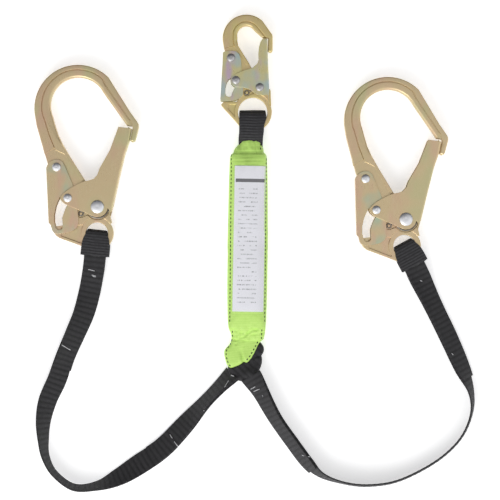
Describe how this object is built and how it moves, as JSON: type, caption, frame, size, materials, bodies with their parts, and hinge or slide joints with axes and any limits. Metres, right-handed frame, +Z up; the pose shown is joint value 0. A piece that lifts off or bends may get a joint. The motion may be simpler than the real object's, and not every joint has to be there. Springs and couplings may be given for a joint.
{
  "type": "shock absorbing lanyard",
  "caption": "Twin-leg energy absorbing lanyard: a folded-webbing absorber pack with a snap hook above, and webbing legs that end in large rebar hooks.",
  "frame": {"origin": "middle of the absorber pack's underside, which rests on the surface", "axes": "+Z up from the surface, +Y from the legs' fork towards the snap hook, +X across towards the right leg"},
  "size_m": [0.5294, 0.5713, 0.0271],
  "materials": {
    "zinc_gold": "yellow zinc plated forged steel",
    "zinc_iridescent": "yellow zinc plated stamped steel",
    "bright_rivet": "bright zinc plated steel",
    "dark_rivet": "dull plated steel",
    "spring_wire": "spring steel wire",
    "black_webbing": "black polyester webbing",
    "raw_webbing": "undyed polyester webbing",
    "lime_fabric": "glossy lime woven cover",
    "label_film": "printed white film",
    "clear_film": "clear vinyl window"
  },
  "bodies": {
    "pack": {"pack_cover": "lime_fabric", "label": "label_film", "label_window": "clear_film", "tear_webbing": "raw_webbing", "backup_strap": "black_webbing", "top_loop": "black_webbing", "bottom_loop": "lime_fabric", "leg_eye": "black_webbing"},
    "snap_hook": {"snap_body": "zinc_gold", "snap_gate_pivot": "dark_rivet", "snap_lock_pivot": "dark_rivet", "snap_gate_springs": "spring_wire", "snap_lock_spring": "spring_wire"},
    "snap_gate": {"snap_gate": "zinc_iridescent", "snap_link_rivet": "dark_rivet"},
    "snap_lock": {"snap_lock": "zinc_iridescent"},
    "left_leg": {"left_leg": "black_webbing", "left_wear_pad": "black_webbing"},
    "left_hook": {"left_body": "zinc_gold", "left_gate_pivot": "bright_rivet", "left_lock_pivot": "bright_rivet", "left_gate_springs": "spring_wire", "left_lock_spring": "spring_wire"},
    "left_gate": {"left_gate": "zinc_gold", "left_link_rivet": "bright_rivet"},
    "left_lock": {"left_lock": "zinc_iridescent"},
    "right_leg": {"right_leg": "black_webbing", "right_wear_pad": "black_webbing"},
    "right_hook": {"right_body": "zinc_gold", "right_gate_pivot": "bright_rivet", "right_lock_pivot": "bright_rivet", "right_gate_springs": "spring_wire", "right_lock_spring": "spring_wire"},
    "right_gate": {"right_gate": "zinc_gold", "right_link_rivet": "bright_rivet"},
    "right_lock": {"right_lock": "zinc_iridescent"}
  },
  "joints": [
    {"name": "snap_swing", "type": "hinge", "parent": "pack", "child": "snap_hook", "pos_m": [0.0062, 0.1536, 0.013], "axis": [0, 0, 1], "range_deg": [-30, 30]},
    {"name": "snap_gate_hinge", "type": "hinge", "parent": "snap_hook", "child": "snap_gate", "pos_m": [0.0147, 0.1831, 0.013], "axis": [0, 0, 1], "range_deg": [0, 27], "stiffness_Nm_per_rad": 0.25, "springref_deg": -20.05},
    {"name": "snap_lock_hinge", "type": "hinge", "parent": "snap_hook", "child": "snap_lock", "pos_m": [-0.0198, 0.2186, 0.013], "axis": [0, 0, 1], "range_deg": [0, 12], "stiffness_Nm_per_rad": 0.12, "springref_deg": -11.46},
    {"name": "left_leg_swing", "type": "hinge", "parent": "pack", "child": "left_leg", "pos_m": [-0.017, -0.158, 0.012], "axis": [0, 0, 1], "range_deg": [-8, 8]},
    {"name": "left_hook_swing", "type": "hinge", "parent": "left_leg", "child": "left_hook", "pos_m": [-0.1804, 0.0083, 0.013], "axis": [0, 0, 1], "range_deg": [-30, 18]},
    {"name": "left_gate_hinge", "type": "hinge", "parent": "left_hook", "child": "left_gate", "pos_m": [-0.17944, 0.04024, 0.013], "axis": [0, 0, 1], "range_deg": [0, 40], "stiffness_Nm_per_rad": 0.4, "springref_deg": -17.19},
    {"name": "left_lock_hinge", "type": "hinge", "parent": "left_hook", "child": "left_lock", "pos_m": [-0.22844, 0.08789, 0.013], "axis": [0, 0, 1], "range_deg": [0, 13.6], "stiffness_Nm_per_rad": 0.2, "springref_deg": -11.46},
    {"name": "right_leg_swing", "type": "hinge", "parent": "pack", "child": "right_leg", "pos_m": [0.003, -0.16, 0.012], "axis": [0, 0, 1], "range_deg": [-8, 8]},
    {"name": "right_hook_swing", "type": "hinge", "parent": "right_leg", "child": "right_hook", "pos_m": [0.188, -0.0066, 0.013], "axis": [0, 0, 1], "range_deg": [-25, 16]},
    {"name": "right_gate_hinge", "type": "hinge", "parent": "right_hook", "child": "right_gate", "pos_m": [0.18952, 0.02532, 0.013], "axis": [0, 0, 1], "range_deg": [0, 40], "stiffness_Nm_per_rad": 0.4, "springref_deg": -17.19},
    {"name": "right_lock_hinge", "type": "hinge", "parent": "right_hook", "child": "right_lock", "pos_m": [0.14135, 0.07381, 0.013], "axis": [0, 0, 1], "range_deg": [0, 13.6], "stiffness_Nm_per_rad": 0.2, "springref_deg": -11.46}
  ],
  "couplings": [
    {"joint": "snap_lock_hinge", "follows": "snap_gate_hinge", "ratio": 0.42593},
    {"joint": "left_lock_hinge", "follows": "left_gate_hinge", "ratio": 0.3375},
    {"joint": "right_lock_hinge", "follows": "right_gate_hinge", "ratio": 0.3375}
  ]
}
